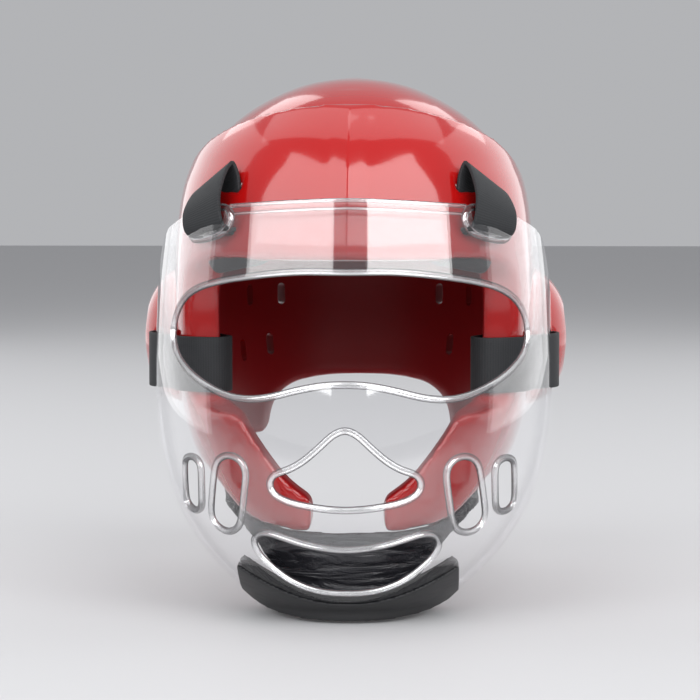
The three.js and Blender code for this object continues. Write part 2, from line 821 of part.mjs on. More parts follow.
function chinCupSolid() {
  const steps = 20;
  const rings = Array.from({ length: steps + 1 }, (_, k) => chinCupRing((2 * k) / steps - 1));
  const box = wasm.Manifold.cube([2 * chinCupHalfWidth, 4 * shieldReach, 4 * shieldHeight], true);
  return largest(sheetSolid(rings, rings[0].length / 2).intersect(box));
}

const nodes = {};
const fullStraps = {
  top_strap_left: topStrap(-1, 0),
  top_strap_right: topStrap(1, 0),
  side_strap_left: sideStrap(-1, 0),
  side_strap_right: sideStrap(1, 0),
};
const strapRoom = [topStrap(-1, clearance), topStrap(1, clearance), sideStrap(-1, clearance), sideStrap(1, clearance)];

function foamShell() {
  const crown = foamBody(0, 0);
  const pad = foamBody(padRise, browKeelRise).intersect(belowPadTop());
  let solid = crown.add(pad).add(earBulge(-1)).add(earBulge(1)).subtract(headBody());
  const alongX = new THREE.Vector3(1, 0, 0);
  const ear = new THREE.Vector3(0, earForward, -earDrop);
  const far = 2 * headHalfWidth;
  solid = solid.subtract(slit(ear, alongX, earHole.along, earHole.up, -far, far));
  for (const cut of [faceCut(), cheekCut(), lowerCut(), napeCut(), chinGapCut(), ...ventCuts()])
    solid = solid.subtract(cut);
  for (const room of strapRoom) solid = solid.subtract(room);
  return largest(solid);
}

function faceShield() {
  let solid = shieldSheet(-shieldWall, 0);
  const outlines = [openingOutline(eyeHalf, 38), openingOutline(noseHalf, 24), openingOutline(mouthHalf, 26)];
  for (const slot of cheekSlots) for (const side of [-1, 1]) outlines.push(slotOutline(slot, side));
  const near = -headHalfLength * 0.2;
  for (const outline of outlines)
    solid = solid.subtract(prism(outline, -2 * shieldReach, near, "y"));
  for (const outline of outlines) solid = solid.add(rimBead(outline));
  const corner = topEdge.map(([x, z]) => [x * shieldHalfWidth, -shieldTopDrop - z * shieldHeight]);
  for (const side of [-1, 1]) {
    const cut = corner.map(([x, z]) => [side * x, z]);
    solid = solid.subtract(prism(cut, -2 * shieldReach, shieldReach, "y"));
  }
  for (const side of [-1, 1]) solid = solid.subtract(topSlot(side)).subtract(rearSlot(side));
  for (const room of strapRoom) solid = solid.subtract(room);
  return largest(solid);
}

nodes.foam_shell = foamShell();
nodes.face_shield = faceShield();
Object.assign(nodes, fullStraps);
nodes.chin_strap = chinStrapSolid();
nodes.chin_cup = chinCupSolid();

const finishes = {
  foam: { color: 0xc8181a, roughness: 0.28, metalness: 0 },
  clear: { color: 0xf2f5f6, roughness: 0.05, metalness: 0, transparent: true, opacity: 0.35 },
  webbing: { color: 0x23272b, roughness: 0.8, metalness: 0 },
  vinyl: { color: 0x1c1c20, roughness: 0.4, metalness: 0 },
};
const finishOf = { foam_shell: "foam", face_shield: "clear", chin_strap: "vinyl", chin_cup: "vinyl" };

const headgear = new THREE.Group();
headgear.name = "sparring_headgear";
for (const [name, solid] of Object.entries(nodes)) {
  const material = new THREE.MeshStandardMaterial(finishes[finishOf[name] ?? "webbing"]);
  const mesh = new THREE.Mesh(toGeometry(solid), material);
  mesh.name = name;
  headgear.add(mesh);
}

export default headgear;
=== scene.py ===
# %% [markdown]
# Sparring headgear with a clear face shield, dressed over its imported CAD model.
# The real headgear is foam dipped in glossy vinyl. A clear moulded shield is strapped over the face with
# webbing, and a padded strap and a soft channel close it under the chin. Every piece is made in metres, in
# the frame of the CAD model, so nothing has to be fitted later.

import math

import bmesh
import bpy
import numpy as np
from mathutils import Matrix, Vector, noise


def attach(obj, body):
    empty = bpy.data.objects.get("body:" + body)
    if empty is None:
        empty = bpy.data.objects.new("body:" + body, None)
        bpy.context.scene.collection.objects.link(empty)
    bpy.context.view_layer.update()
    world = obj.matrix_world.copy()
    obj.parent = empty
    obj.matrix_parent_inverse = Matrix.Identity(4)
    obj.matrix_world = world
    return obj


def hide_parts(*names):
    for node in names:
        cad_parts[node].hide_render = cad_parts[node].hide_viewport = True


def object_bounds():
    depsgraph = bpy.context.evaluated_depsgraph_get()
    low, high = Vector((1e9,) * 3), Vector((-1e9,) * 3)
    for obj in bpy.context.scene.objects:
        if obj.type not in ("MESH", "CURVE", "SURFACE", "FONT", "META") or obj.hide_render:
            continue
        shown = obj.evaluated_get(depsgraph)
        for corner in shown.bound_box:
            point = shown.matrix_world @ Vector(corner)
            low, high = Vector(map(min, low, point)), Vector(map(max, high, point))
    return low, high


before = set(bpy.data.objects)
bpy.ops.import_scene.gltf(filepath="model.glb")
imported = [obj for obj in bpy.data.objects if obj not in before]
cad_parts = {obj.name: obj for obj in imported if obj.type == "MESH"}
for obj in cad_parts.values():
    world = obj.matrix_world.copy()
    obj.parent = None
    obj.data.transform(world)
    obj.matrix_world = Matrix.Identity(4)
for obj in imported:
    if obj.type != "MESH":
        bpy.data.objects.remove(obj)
cad_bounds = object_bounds()
MM = 0.001
print("CAD box", cad_bounds)


def linked(name, data):
    made = bpy.data.objects.new(name, data)
    bpy.context.scene.collection.objects.link(made)
    return made


# %% [markdown]
# The driving sizes repeat the named sizes of the CAD source, so the dressed shapes follow the solids.
# Real foam headgear is moulded round a head form. So the foam is drawn as an offset of such a form here
# too, and the shield as a taller form of its own. Changing one size then moves all that hangs on it.

# %% Driving sizes
head_half_width = 78 * MM
head_half_length = 97 * MM
head_height = 232 * MM
section_power = 2.25

crown_wall_top = 16 * MM
crown_wall_side = 11 * MM
crown_wall_front = 16 * MM
crown_wall_back = 13 * MM
pad_rise = 5.5 * MM
pad_top_front = 3 * MM
pad_top_slope = 0.5
brow_keel_rise = 1.6 * MM
brow_keel_half_width = 9 * MM

brow_drop = 76 * MM
temple_reach = 60 * MM
cheek_gap = 17 * MM
skirt_drop = 180 * MM
nape_arch_half_width = 50 * MM
nape_arch_drop = 148 * MM

ear_forward = 16 * MM
ear_drop = 121 * MM
ear_radius = (25 * MM, 32 * MM, 37 * MM)
ear_seat = 89 * MM
ear_hole_along = 13 * MM
ear_hole_up = 19 * MM

vent_half_width = 2.5 * MM
vent_half_height = 6 * MM

shield_wall = 2.4 * MM
shield_side_room = 7.5 * MM
shield_nose_room = 22 * MM
shield_top_drop = 47 * MM
shield_height = 200 * MM
rim_radius = 1.85 * MM
rim_inset = 0.6 * MM

strap_thickness = 1.8 * MM
top_strap_width = 29 * MM
side_strap_width = 28 * MM
side_strap_drop = 131 * MM
clearance = 0.4 * MM
strap_play = 1 * MM
side_slot_half_width = 4.2 * MM
side_slot_play = 3.5 * MM
top_slot_play = 3 * MM
top_slot_step = 5 * MM
top_slot_round = 4 * MM

chin_strap_thickness = 5 * MM
chin_wide_share = 0.92
chin_deep_share = 1.06
chin_round = 1.14
chin_taper = 0.5
chin_cup_wall = 3 * MM
chin_cup_lip = 4.5 * MM
chin_cup_sweep = 0.16
chin_cup_depth = 7.5 * MM
chin_cup_ledge = 13 * MM
chin_cup_half_width = 55 * MM
chin_cup_corner = 8 * MM
chin_crease_depth = 0.8 * MM

shield_half_width = head_half_width + crown_wall_side + pad_rise + shield_side_room
shield_reach = head_half_length + crown_wall_front + pad_rise + shield_nose_room
shield_foot = shield_top_drop + shield_height

foam_voxel = 1.85 * MM
chin_voxel = 1.2 * MM
cup_voxel = 0.9 * MM

# %% [markdown]
# A moulded form has no formula. It is read as a table of sections from the crown down: how far down each
# one lies, and how wide and deep it is, as shares of the named sizes. Openings are half outlines, as both
# sides are alike.

# %% Section tables
head_table = {
    "drop": (0, 0.014, 0.056, 0.112, 0.164, 0.224, 0.323, 0.453, 0.582, 0.69, 0.776, 0.862, 0.94, 1),
    "width": (0, 0.31, 0.6, 0.81, 0.91, 0.96, 0.99, 1, 0.985, 0.925, 0.83, 0.69, 0.5, 0.3),
    "front": (0, 0.31, 0.59, 0.77, 0.87, 0.94, 0.99, 1, 0.99, 0.975, 0.95, 0.915, 0.85, 0.72),
    "back": (0, 0.33, 0.6, 0.78, 0.87, 0.93, 0.99, 1, 0.96, 0.89, 0.83, 0.76, 0.66, 0.5),
}
shield_table = {
    "drop": (0, 0.09, 0.2, 0.31, 0.43, 0.56, 0.68, 0.79, 0.88, 0.95, 1),
    "width": (0.93, 0.955, 0.98, 0.993, 1, 0.993, 0.957, 0.887, 0.785, 0.665, 0.56),
    "front": (0.853, 0.878, 0.91, 0.94, 0.975, 0.997, 1, 0.978, 0.93, 0.86, 0.775),
    "rear": (0.3, 0.25, 0.18, 0.12, 0.1, 0.13, 0.2, 0.29, 0.36, 0.42, 0.46),
}
brow_edge = [
    (0.8, 0.006), (0.64, 0.04), (0.6, 0.1), (0.6, 0.2), (0.6, 0.28), (0.67, 0.318), (0.84, 0.33), (1, 0.34),
    (1.4, 0.39),
]
cheek_edge = [
    (0.64, 0.4), (0.7, 0.56), (0.72, 0.62), (0.65, 0.68), (0.52, 0.745), (0.38, 0.8), (0.22, 0.836),
    (0.06, 0.85),
]
lower_edge = [
    (-1.6, -0.015), (-0.8, -0.01), (-0.2, 0), (0.3, 0.012), (0.54, 0.03), (0.66, 0.06), (0.78, 0.108),
    (0.95, 0.13), (1.6, 0.135),
]
eye_half = [
    (0, 0.173), (0.24, 0.173), (0.45, 0.184), (0.64, 0.202), (0.75, 0.222), (0.82, 0.25),
    (0.87, 0.295), (0.883, 0.34), (0.86, 0.385), (0.78, 0.427), (0.67, 0.458), (0.56, 0.477),
    (0.45, 0.48), (0.35, 0.472), (0.235, 0.456), (0.1, 0.443), (0, 0.441),
]
nose_half = [
    (0, 0.549), (0.055, 0.56), (0.12, 0.59), (0.2, 0.625), (0.27, 0.646), (0.34, 0.66),
    (0.363, 0.68), (0.35, 0.703), (0.29, 0.722), (0.19, 0.734), (0, 0.743),
]
mouth_half = [
    (0, 0.843), (0.19, 0.831), (0.31, 0.814), (0.38, 0.806), (0.43, 0.812), (0.449, 0.835),
    (0.426, 0.866), (0.37, 0.895), (0.28, 0.93), (0.15, 0.956), (0, 0.963),
]
top_edge = [
    (0, -0.003), (0.2, 0), (0.4, 0.006), (0.6, 0.015), (0.73, 0.027), (0.852, 0.055), (0.94, 0.09),
    (0.985, 0.14), (1.1, 0.3),
]
top_lines = [{"below": 0.6, "radius": 1.1}, {"below": 4.6, "radius": 0.8}]
cheek_slots = [
    {"top": (0.56, 0.661), "bottom": (0.59, 0.777), "radius": 0.082},
    {"top": (0.765, 0.662), "bottom": (0.77, 0.758), "radius": 0.05},
]
chin_table = {
    "share": (0, 0.25, 0.42, 0.54, 0.66, 0.82, 1),
    "low": (1, 0.985, 0.88, 0.69, 0.57, 0.45, 0.343),
}

# %% [markdown]
# The camera stands where the photograph was taken from: almost straight on and a little above. The place
# comes from the direction to it, so both angles stay readable. It is 1.4 m away, and the long lens makes a
# millimetre cover as many pixels as in the picture.

# %% Camera
view_azimuth = math.radians(2.1)
view_elevation = math.radians(4)
view_distance = 1.4
view_target = Vector((-2.65 * MM, 0, -128 * MM))
sensor_width = 36
picture_pixels = 700
focal_pixels = 2641

camera_data = bpy.data.cameras.new("camera")
camera_data.sensor_width = sensor_width
camera_data.lens = focal_pixels * sensor_width / picture_pixels
camera = linked("camera", camera_data)
towards_camera = Vector((
    math.sin(view_azimuth) * math.cos(view_elevation),
    -math.cos(view_azimuth) * math.cos(view_elevation),
    math.sin(view_elevation),
))
camera.location = view_target + towards_camera * view_distance
camera.rotation_euler = towards_camera.to_track_quat("Z", "Y").to_euler()
bpy.context.scene.camera = camera

# %% [markdown]
# Shader maths reads best as plain expressions, so one small class wraps a socket. Adding or multiplying
# two of them adds a Math node. One function makes every other kind of node, and its inputs are given by
# name, or as i0, i1 and so on where a node uses a name twice.

# %% Shader helper
def feed(made, **inputs):
    for name, value in inputs.items():
        numbered = name.startswith("i") and name[1:].isdigit()
        target = made.inputs[int(name[1:]) if numbered else name.replace("_", " ")]
        if isinstance(value, Socket):
            made.id_data.links.new(value.socket, target)
        else:
            target.default_value = value


def node(tree, kind, settings=None, output=0, **inputs):
    made = tree.nodes.new("ShaderNode" + kind)
    for name, value in (settings or {}).items():
        setattr(made, name, value)
    feed(made, **inputs)
    return Socket(made.outputs[output])


class Socket:
    def __init__(self, socket):
        self.socket = socket
        self.tree = socket.id_data

    def math(self, operation, other=None, swap=False):
        first, second = (other, self) if swap else (self, other)
        inputs = {"i0": first} if second is None else {"i0": first, "i1": second}
        return node(self.tree, "Math", {"operation": operation}, **inputs)

    def __add__(self, other):
        return self.math("ADD", other)

    def __radd__(self, other):
        return self.math("ADD", other, swap=True)

    def __sub__(self, other):
        return self.math("SUBTRACT", other)

    def __rsub__(self, other):
        return self.math("SUBTRACT", other, swap=True)

    def __mul__(self, other):
        return self.math("MULTIPLY", other)

    def __rmul__(self, other):
        return self.math("MULTIPLY", other, swap=True)


def new_material(name):
    material = bpy.data.materials.new(name)
    material.use_nodes = True
    tree = material.node_tree
    return material, tree, tree.nodes["Principled BSDF"]


def mix_colour(tree, factor, first, second):
    return node(tree, "Mix", {"data_type": "RGBA"}, 2, i0=factor, i6=first, i7=second)


def ramp(tree, value, start, end, first, last):
    return node(tree, "MapRange", i0=value, i1=start, i2=end, i3=first, i4=last)


def split(tree, vector):
    parts = node(tree, "SeparateXYZ", Vector=vector).socket.node.outputs
    return [Socket(part) for part in parts]


def noisy(tree, vector, scale, detail, twist=0.0):
    return node(tree, "TexNoise", Vector=vector, Scale=scale, Detail=detail, Distortion=twist)


def bumped(tree, strength, distance, height):
    return node(tree, "Bump", Strength=strength, Distance=distance, Height=height)


# %% [markdown]
# The dipped vinyl is a thick red skin with the faint unevenness of a coat that ran and set. Its gloss is a
# clear coat over a duller base. Inside the shell the coat is dull, and its red is darkened there as painted
# shade, since little light reaches in. Painting those faces by hand would break with every new cut, so the
# shader finds them: they look towards the middle of the head.

# %% Dipped vinyl
head_middle = (0, 0, -0.45 * head_height)


def dipped_vinyl():
    material, tree, shader = new_material("dipped_red_vinyl")
    place = node(tree, "TexCoord", output="Object")
    facing = node(tree, "NewGeometry", output="Normal")
    spread = node(tree, "VectorMath", {"operation": "SUBTRACT"}, i0=place, i1=head_middle)
    away = node(tree, "VectorMath", {"operation": "DOT_PRODUCT"}, "Value", i0=spread, i1=facing)
    inside = ramp(tree, away, 0.01, -0.03, 0.0, 1.0)
    cloud = noisy(tree, place, 22.0, 3.0)
    grain = noisy(tree, place, 900.0, 2.0)
    peel = noisy(tree, place, 120.0, 1.0)
    skin = mix_colour(tree, cloud, (0.33, 0.003, 0.003, 1), (0.38, 0.005, 0.005, 1))
    # Inside, the darker red is painted shade. The rougher, uncoated finish there is the real inner skin.
    feed(
        shader, Base_Color=mix_colour(tree, inside, skin, (0.24, 0.005, 0.007, 1)),
        Roughness=0.12 + cloud * 0.05 + inside * 0.3, Specular_IOR_Level=0.3, Coat_Weight=1 - inside,
        Coat_Roughness=0.07, Normal=bumped(tree, 0.05, 0.0003, grain * 0.25 + peel),
    )
    return material


red_vinyl = dipped_vinyl()

# %% [markdown]
# The shield is clear moulded plastic. It hides nothing that is straight behind it, and mirrors the lamps
# more and more towards its edges. Real glass shaders bend light and need many bounces. So a see-through
# shader is mixed with a glossy one by Fresnel, and a greyer one takes over where the sheet turns away.
# The strip that stands in the chin cup is drawn black, as the lining there: it ends along a parabola.

# %% Clear plastic
plastic_ior = 1.5
lining_middle = -243.2 * MM
lining_rise = 9.2
lining_top = -226 * MM
lining_half_width = 52 * MM
lining_fade = 0.3 * MM


def to_surface(tree, shader):
    feed(tree.nodes["Material Output"], Surface=shader)


def mix_shader(tree, factor, first, second):
    return node(tree, "MixShader", i0=factor, i1=first, i2=second)


def see_through(tree, shade):
    return node(tree, "BsdfTransparent", Color=(*shade, 1))


def clear_plastic():
    material, tree, lining = new_material("clear_plastic")
    place = node(tree, "TexCoord", output="Object")
    ripple = noisy(tree, place, 9.0, 1.0)
    bump = bumped(tree, 0.08, 0.002, ripple)
    behind = node(tree, "NewGeometry", output="Backfacing")
    ior = plastic_ior - behind * (plastic_ior - 1 / plastic_ior)
    edge = node(tree, "Fresnel", IOR=ior, Normal=bump)
    slope = node(tree, "LayerWeight", {}, "Facing", Blend=0.5)
    thick = ramp(tree, slope, 0.7, 0.97, 0.0, 1.0)
    thin_view, thick_view = see_through(tree, (0.985, 0.985, 0.99)), see_through(tree, (0.62, 0.62, 0.65))
    body = mix_shader(tree, thick, thin_view, thick_view)
    shine = node(tree, "BsdfGlossy", Roughness=0.05, Color=(1, 1, 1, 1), Normal=bump)
    plastic = mix_shader(tree, edge * 1.25 + 0.045, body, shine)
    right, _, up = split(tree, place)
    limit = (lining_middle + lining_rise * right * right).math("MINIMUM", lining_top)
    under = ramp(tree, up - limit, lining_fade, -lining_fade, 0.0, 1.0)
    near = ramp(tree, right.math("ABSOLUTE"), lining_half_width, lining_half_width + 1 * MM, 1.0, 0.0)
    folds = noisy(tree, place, 260.0, 3.0, 1.0)
    feed(
        lining, Base_Color=(0.006, 0.006, 0.008, 1), Roughness=0.24, Specular_IOR_Level=0.35,
        Normal=bumped(tree, 0.5, 0.001, folds),
    )
    to_surface(tree, mix_shader(tree, under * near, plastic, Socket(lining.outputs["BSDF"])))
    return material


clear = clear_plastic()

# %% [markdown]
# A moulded bead is a round rod of the same plastic. It gathers the light in its middle and looks dark at
# both sides, which is how the photograph shows every opening. A true refraction would need a fine mesh and
# many samples. Two mixes that follow the slope of the surface give the same bright core and dark edges.

# %% Clear rims
def rim_plastic():
    material, tree, shader = new_material("clear_rim")
    tree.nodes.remove(shader)
    slope = node(tree, "LayerWeight", {}, "Facing", Blend=0.5)
    dark = ramp(tree, slope, 0.22, 0.6, 0.0, 0.85)
    glint = ramp(tree, slope, 0.02, 0.5, 0.75, 0.14)
    shade = node(tree, "BsdfDiffuse", Color=(0.12, 0.118, 0.125, 1))
    body = mix_shader(tree, dark, see_through(tree, (0.97, 0.97, 0.98)), shade)
    shine = node(tree, "BsdfGlossy", Roughness=0.16, Color=(1, 1, 1, 1))
    to_surface(tree, mix_shader(tree, glint, body, shine))
    return material


clear_rim = rim_plastic()

# %% [markdown]
# Black webbing is a tight flat weave. A picture of cloth would be the usual way; here sine waves draw it.
# The pattern follows the strap, so it reads the strap's own UV map, where one unit is a millimetre: ribs
# run across, and fine threads run along.

# %% Webbing
rib_pitch = 1.3
thread_pitch = 0.9


def webbing_material():
    material, tree, shader = new_material("black_webbing")
    place = node(tree, "UVMap", {"uv_map": "weave"})
    across, along, _ = split(tree, place)
    ribs = (along * (2 * math.pi / rib_pitch)).math("SINE")
    wander = (along * (math.pi / rib_pitch)).math("SINE") * 1.5
    threads = (across * (2 * math.pi / thread_pitch) + wander).math("SINE")
    weave = ribs * 0.5 + threads * 0.35
    fuzz = noisy(tree, place, 3.0, 4.0)
    # The colour is lighter on the raised ribs and threads and darker between them as painted shade, with
    # random tone from the fuzz.
    weave_shade_and_tone = weave * 0.4 + 0.4 * fuzz + 0.2
    feed(
        shader, Base_Color=mix_colour(tree, weave_shade_and_tone, (0.006, 0.007, 0.008, 1), (0.024, 0.026, 0.03, 1)),
        Roughness=0.62 + fuzz * 0.25, Normal=bumped(tree, 0.25, 0.0003, weave + fuzz * 0.4),
    )
    return material


webbing = webbing_material()

# %% [markdown]
# The chin pad is covered in thin black vinyl that creases like leather. Small wrinkles come from a
# stretched noise, and the larger folds are in the pad's mesh. The chin cup is a smoother, duller rubber,
# lined with the vinyl, so one recipe with other numbers makes all three.

# %% Wrinkled vinyl and moulded rubber
def wrinkled_vinyl(name, dark, light, crease, rough, gloss=0.5):
    material, tree, shader = new_material(name)
    place = node(tree, "TexCoord", output="Object")
    turned = node(tree, "Mapping", Vector=place, Scale=(0.5, 0.8, 2.6))
    folds = noisy(tree, turned, 60.0, 4.0, 1.4)
    pores = node(tree, "TexVoronoi", Vector=place, Scale=900.0)
    # The colour follows the bump's folds: darker in the creases and lighter on the ridges, as painted shade.
    feed(
        shader, Base_Color=mix_colour(tree, folds, (*dark, 1), (*light, 1)), Roughness=rough + folds * 0.2,
        Specular_IOR_Level=gloss, Normal=bumped(tree, crease, 0.0025, folds + pores * 0.04),
    )
    return material


black_vinyl = wrinkled_vinyl("black_wrinkled_vinyl", (0.008, 0.008, 0.01), (0.03, 0.03, 0.036), 0.9, 0.14)
black_rubber = wrinkled_vinyl(
    "black_moulded_rubber", (0.012, 0.012, 0.013), (0.026, 0.026, 0.028), 0.08, 0.42,
)
black_lining = wrinkled_vinyl(
    "black_channel_lining", (0.003, 0.003, 0.004), (0.012, 0.012, 0.015), 0.5, 0.3, 0.2,
)

# %% [markdown]
# A few helpers turn tables into shapes. A line of a table becomes a smooth curve, and a rounded section
# places a point by its angle: 0 is the front, and a quarter turn is to the right.

# %% Curves and sections
def smooth_curve(values):
    values = np.array(values, dtype=float)
    slopes = np.gradient(values)

    def at(u):
        u = np.asarray(u, dtype=float)
        i = np.clip(np.floor(u).astype(int), 0, len(values) - 2)
        t = u - i
        rise = values[i + 1] - values[i]
        bend = (slopes[i] - rise) * (1 - t) + (rise - slopes[i + 1]) * t
        return values[i] + t * rise + t * (1 - t) * bend

    return at


def row_at(curve, value, last):
    steps = np.linspace(0, last, 1200)
    return np.interp(value, curve(steps), steps)


def section_points(half_width, front, back, z, angle):
    s, c = np.sin(angle), np.cos(angle)
    x = half_width * np.sign(s) * np.abs(s) ** (2 / section_power)
    y = np.where(c > 0, -front, back) * np.abs(c) ** (2 / section_power)
    return np.stack(np.broadcast_arrays(x, y, z), axis=-1)


def outward(points, u, angle, last):
    step = 0.02
    low = np.maximum(u - step, step)
    mid = np.maximum(u, step)
    down = points(np.minimum(low + 2 * step, last), angle) - points(low, angle)
    round_ = points(mid, angle + step) - points(mid, angle - step)
    normal = np.cross(down, round_)
    return normal / np.linalg.norm(normal, axis=-1, keepdims=True)


head = {key: smooth_curve(values) for key, values in head_table.items()}
head_last = len(head_table["drop"]) - 1
shield = {key: smooth_curve(values) for key, values in shield_table.items()}
shield_last = len(shield_table["drop"]) - 1


def head_points(u, angle):
    return section_points(
        head["width"](u) * head_half_width, head["front"](u) * head_half_length,
        head["back"](u) * head_half_length, -head["drop"](u) * head_height, angle,
    )


def foam_points(u, angle, extra):
    c = np.cos(angle)
    along = np.where(c > 0, crown_wall_front, crown_wall_back)
    around = crown_wall_side + (along - crown_wall_side) * c * c
    wall = crown_wall_top + (around - crown_wall_top) * np.minimum(u / 4, 1) + extra
    return head_points(u, angle) + outward(head_points, u, angle, head_last) * wall[..., None]


def shield_points(u, angle):
    return section_points(
        shield["width"](u) * shield_half_width, shield["front"](u) * shield_reach, 0,
        -shield_top_drop - shield["drop"](u) * shield_height, angle,
    )


def below_skin(u, angle, depth):
    return shield_points(u, angle) - outward(shield_points, u, angle, shield_last) * depth


def shield_spot(x_share, z_share):
    return x_share * shield_half_width, -shield_top_drop - z_share * shield_height


def shield_span(u):
    share = shield["rear"](u) / shield["front"](u)
    return np.arccos(np.minimum(share ** (section_power / 2), 1))


def shield_at(x, z):
    u = row_at(shield["drop"], (-z - shield_top_drop) / shield_height, shield_last)
    reach = np.minimum(np.abs(x) / (shield["width"](u) * shield_half_width), 0.995)
    angle = np.sign(x) * np.arcsin(reach ** (section_power / 2))
    return u, angle


def between(t, start, end, first, last):
    return (end - t) / (end - start) * first + (t - start) / (end - start) * last


def smooth_outline(points, count, closed=True):
    knots = np.array(points, dtype=float)
    if closed:
        around = np.vstack([knots[-1], knots, knots[0], knots[1]])
    else:
        around = np.vstack([2 * knots[0] - knots[1], knots, 2 * knots[-1] - knots[-2]])
    pieces = []
    for a, b, c, d in zip(around, around[1:], around[2:], around[3:]):
        t0, t1, t2, t3 = np.cumsum([0, *(np.linalg.norm(q - p) ** 0.5 for p, q in ((a, b), (b, c), (c, d)))])
        t = np.linspace(t1, t2, 24, endpoint=False)[:, None]
        ab, bc, cd = between(t, t0, t1, a, b), between(t, t1, t2, b, c), between(t, t2, t3, c, d)
        pieces.append(between(t, t1, t2, between(t, t0, t2, ab, bc), between(t, t1, t3, bc, cd)))
    spaced = evenly(np.vstack([*pieces, knots[:1] if closed else knots[-1:]]), count)
    return spaced[:-1] if closed else spaced


def evenly(dense, count):
    length = np.concatenate([[0], np.cumsum(np.linalg.norm(np.diff(dense, axis=0), axis=1))])
    spots = np.linspace(0, length[-1], count + 1)
    return np.stack([np.interp(spots, length, axis) for axis in dense.T], axis=1)


def mirrored(half):
    return np.vstack([half, half[::-1] * (-1, 1)])


# %% [markdown]
# Mesh helpers come next. An operator makes a ball, a grid or a circle; its vertices are sent to a curved
# form, and it becomes an object at the origin. Closed shapes cut it with the Boolean modifier, which keeps
# edges cleaner than moving vertices by hand. A voxel remesh then gives an even skin that can be smoothed.

# %% Mesh helpers
def object_from(bm, name):
    mesh = bpy.data.meshes.new(name)
    bmesh.ops.recalc_face_normals(bm, faces=bm.faces)
    bm.to_mesh(mesh)
    bm.free()
    mesh.shade_smooth()
    return linked(name, mesh)


def coordinates(bm):
    return np.array([v.co for v in bm.verts])


def place_all(bm, points):
    for v, point in zip(bm.verts, points):
        v.co = point


def evaluated(made):
    graph = bpy.context.evaluated_depsgraph_get()
    return bpy.data.meshes.new_from_object(made.evaluated_get(graph), depsgraph=graph)


def apply_modifiers(target):
    mesh, old = evaluated(target), target.data
    target.modifiers.clear()
    target.data = mesh
    bpy.data.meshes.remove(old)
    return target


def combine(target, others, operation):
    for other in others:
        modifier = target.modifiers.new(operation.lower(), "BOOLEAN")
        modifier.operation = operation
        modifier.solver = "MANIFOLD"
        modifier.object = other
    apply_modifiers(target)
    for other in others:
        mesh = other.data
        bpy.data.objects.remove(other)
        bpy.data.meshes.remove(mesh)
    return target


def only(kind, pushed):
    return [part for part in pushed["geom"] if isinstance(part, kind)]


def prism(outline, low, high, axis):
    bm = bmesh.new()
    bmesh.ops.create_circle(bm, cap_ends=True, segments=len(outline), radius=1)
    place_all(bm, [(low, a, b) if axis == "x" else (a, low, b) for a, b in outline])
    pushed = bmesh.ops.extrude_face_region(bm, geom=list(bm.faces))
    push = (high - low, 0, 0) if axis == "x" else (0, high - low, 0)
    bmesh.ops.translate(bm, verts=only(bmesh.types.BMVert, pushed), vec=push)
    return object_from(bm, "cutter")


def basis_of(first, second, third, origin):
    basis = Matrix((first, second, third)).transposed().to_4x4()
    basis.translation = origin
    return basis


def turned_prism(outline, basis, low, high):
    made = prism(outline, low, high, "x")
    made.data.transform(basis)
    return made


def thickened(made, thickness, offset=0, even=False):
    wall = made.modifiers.new("wall", "SOLIDIFY")
    wall.thickness = thickness
    wall.offset = offset
    wall.use_even_offset = even
    return apply_modifiers(made)


def remesh(target, voxel, rounds):
    modifier = target.modifiers.new("remesh", "REMESH")
    modifier.mode = "VOXEL"
    modifier.voxel_size = voxel
    modifier.use_smooth_shade = True
    soften = target.modifiers.new("soften", "SMOOTH")
    soften.factor = 0.5
    soften.iterations = rounds
    return apply_modifiers(target)


def dress(made, finishes, index=0):
    made.data.materials.clear()
    for finish in finishes:
        made.data.materials.append(finish)
    for polygon in made.data.polygons:
        polygon.material_index = index


# %% [markdown]
# The foam starts as a sphere whose vertices are sent to an offset of the head form. A second, fatter
# one is cut by a slanting plane, and makes the raised pad with its crisp upper edge.

# %% Foam body
def ball_of(segments, rings):
    bm = bmesh.new()
    bmesh.ops.create_uvsphere(bm, u_segments=segments, v_segments=rings, radius=1)
    ball = coordinates(bm)
    u = np.arccos(np.clip(ball[:, 2], -1, 1)) / math.pi * head_last
    return bm, u, np.arctan2(ball[:, 0], -ball[:, 1])


def close_poles(bm, u, points, top):
    points[u < 0.01] = top
    points[u > head_last - 0.01, :2] = 0
    place_all(bm, points)
    return bm


def foam_body(extra):
    bm, u, angle = ball_of(*(((144, 90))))
    return close_poles(bm, u, foam_points(u, angle, extra), (0, 0, crown_wall_top + extra))


def foam_solid():
    crown = object_from(foam_body(0), "crown")
    pad_bm = foam_body(pad_rise)
    edge_point = Vector((0, -head_half_length * 0.84, pad_top_front))
    bmesh.ops.bisect_plane(
        pad_bm, geom=[*pad_bm.verts, *pad_bm.edges, *pad_bm.faces], plane_co=edge_point,
        plane_no=Vector((0, pad_top_slope, 1)).normalized(), clear_outer=True,
    )
    bmesh.ops.holes_fill(pad_bm, edges=[e for e in pad_bm.edges if e.is_boundary], sides=0)
    pad = object_from(pad_bm, "pad")
    ears = []
    for side in (-1, 1):
        bm = bmesh.new()
        bmesh.ops.create_uvsphere(bm, u_segments=48, v_segments=32, radius=1)
        bmesh.ops.scale(bm, verts=bm.verts, vec=ear_radius)
        bmesh.ops.translate(bm, verts=bm.verts, vec=(side * ear_seat, ear_forward, -ear_drop))
        ears.append(object_from(bm, "ear_guard"))
    return combine(crown, [pad, *ears], "UNION")


def head_form():
    bm, u, angle = ball_of(96, 60)
    return object_from(close_poles(bm, u, head_points(u, angle), 0), "head_form")


# %% [markdown]
# The headgear is open below and in front, with slits to let air in. On the real piece these edges come from
# the mould. Here each one is an outline pushed through the whole foam, in side view or in front view: one
# smooth curve then runs on both sides, and it can be changed in its table.

# %% Foam cuts
vent_reach = (-8 * MM, 30 * MM)
ear_reach = 160 * MM


def lower_curve():
    points = [(-ahead * head_half_length, -skirt_drop - down * head_height) for ahead, down in lower_edge]
    return smooth_outline(points, 80, closed=False)


